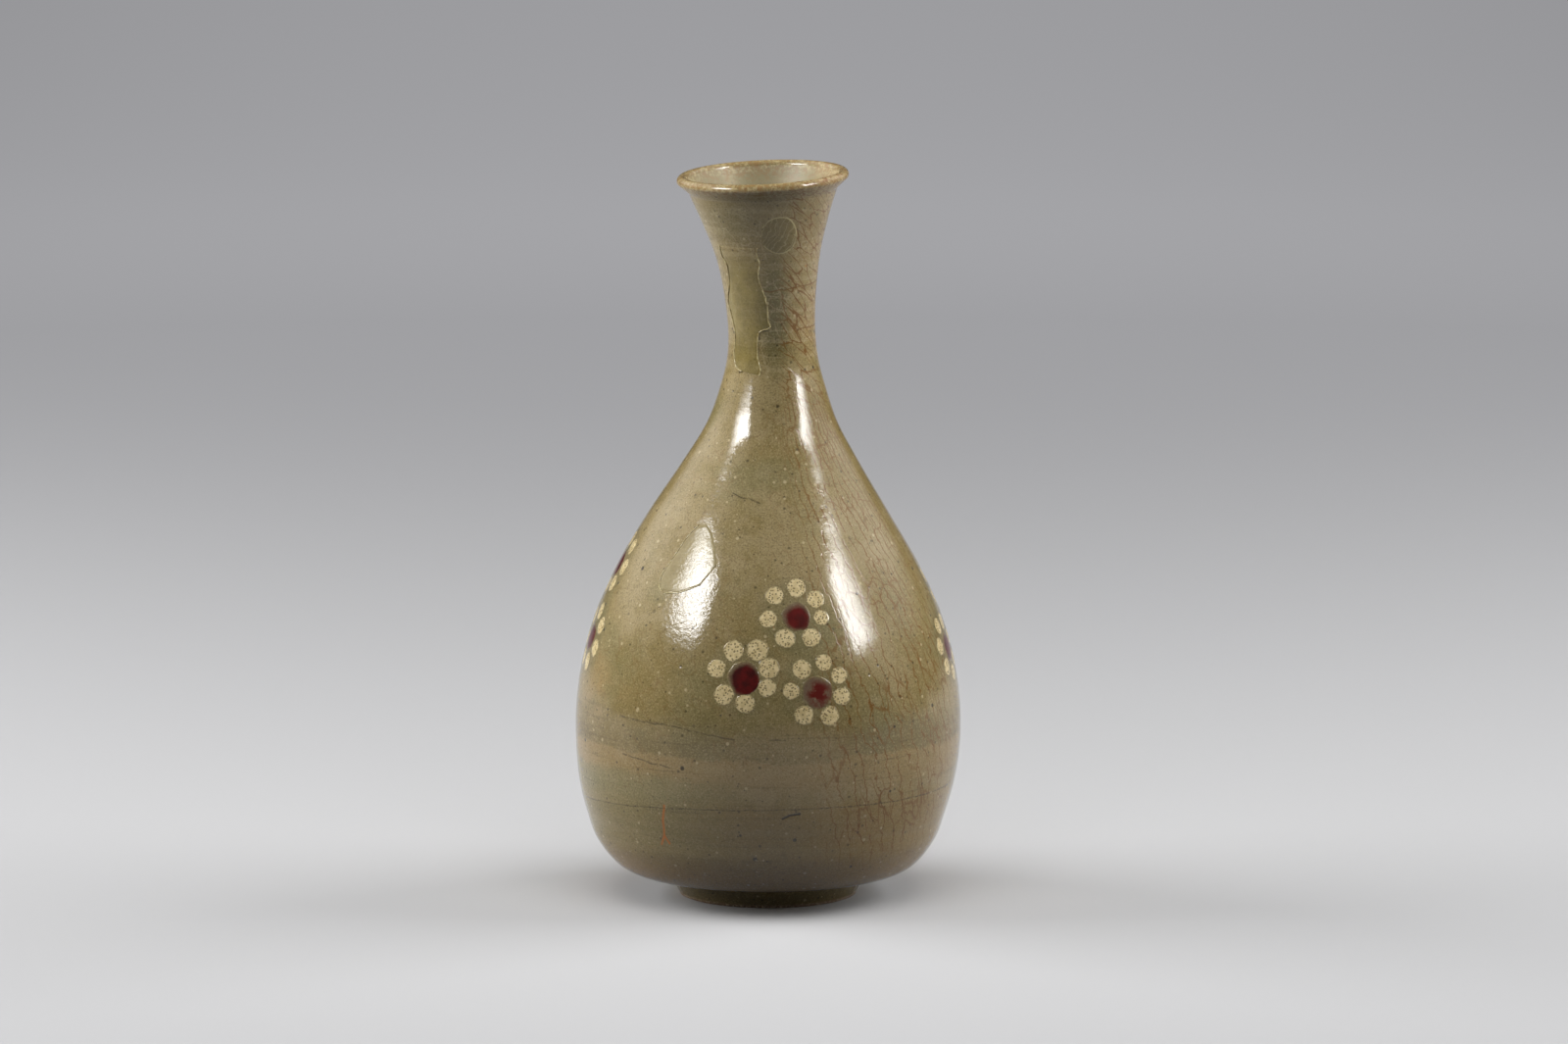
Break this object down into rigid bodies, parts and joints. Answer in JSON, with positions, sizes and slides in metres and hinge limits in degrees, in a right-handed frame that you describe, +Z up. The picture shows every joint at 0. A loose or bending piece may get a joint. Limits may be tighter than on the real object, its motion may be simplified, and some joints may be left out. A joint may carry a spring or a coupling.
{
  "type": "celadon bottle",
  "caption": "Round-bellied stoneware bottle with a low foot ring, slender neck, flared rolled lip and inlaid flowers.",
  "frame": {"origin": "centre of the standing foot ring's underside, on the surface that the bottle stands on", "axes": "+Z up along the bottle, -Y the front seen in the picture, +X to the right of that view"},
  "size_m": [0.1606, 0.1606, 0.304],
  "materials": {
    "celadon_glaze": "glossy olive grey-green glaze with fine crazing, ochre blushes and dark iron specks",
    "white_slip_inlay": "cream slip under the clear glaze, stippled with fine dark specks",
    "copper_red_inlay": "dark copper-red pigment under the clear glaze",
    "restoration_fill": "smooth toned restoration fill, satin, with faint brush marks"
  },
  "bodies": {
    "root": {"back_lower_left_centre": "copper_red_inlay", "back_lower_left_petals": "white_slip_inlay", "back_lower_right_centre": "copper_red_inlay", "back_lower_right_petals": "white_slip_inlay", "back_top_centre": "copper_red_inlay", "back_top_petals": "white_slip_inlay", "front_lower_left_centre": "copper_red_inlay", "front_lower_left_petal_1": "white_slip_inlay", "front_lower_left_petal_2": "white_slip_inlay", "front_lower_left_petal_3": "white_slip_inlay", "front_lower_left_petal_4": "white_slip_inlay", "front_lower_left_petal_5": "white_slip_inlay", "front_lower_left_petal_6": "white_slip_inlay", "front_lower_left_petal_7": "white_slip_inlay", "front_lower_right_centre": "copper_red_inlay", "front_lower_right_petal_1": "white_slip_inlay", "front_lower_right_petal_2": "white_slip_inlay", "front_lower_right_petal_3": "white_slip_inlay", "front_lower_right_petal_4": "white_slip_inlay", "front_lower_right_petal_5": "white_slip_inlay", "front_lower_right_petal_6": "white_slip_inlay", "front_lower_right_petal_7": "white_slip_inlay", "front_top_centre": "copper_red_inlay", "front_top_petal_1": "white_slip_inlay", "front_top_petal_2": "white_slip_inlay", "front_top_petal_3": "white_slip_inlay", "front_top_petal_4": "white_slip_inlay", "front_top_petal_5": "white_slip_inlay", "front_top_petal_6": "white_slip_inlay", "front_top_petal_7": "white_slip_inlay", "left_lower_left_centre": "copper_red_inlay", "left_lower_left_petals": "white_slip_inlay", "left_lower_right_centre": "copper_red_inlay", "left_lower_right_petals": "white_slip_inlay", "left_top_centre": "copper_red_inlay", "left_top_petals": "white_slip_inlay", "lower_body": "celadon_glaze", "neck": "celadon_glaze", "neck_patch_fill": "restoration_fill", "neck_sherd_fill": "restoration_fill", "right_lower_left_centre": "copper_red_inlay", "right_lower_left_petals": "white_slip_inlay", "right_lower_right_centre": "copper_red_inlay", "right_lower_right_petals": "white_slip_inlay", "right_top_centre": "copper_red_inlay", "right_top_petals": "white_slip_inlay", "shoulder_patch_fill": "restoration_fill", "upper_body": "celadon_glaze"}
  },
  "joints": []
}
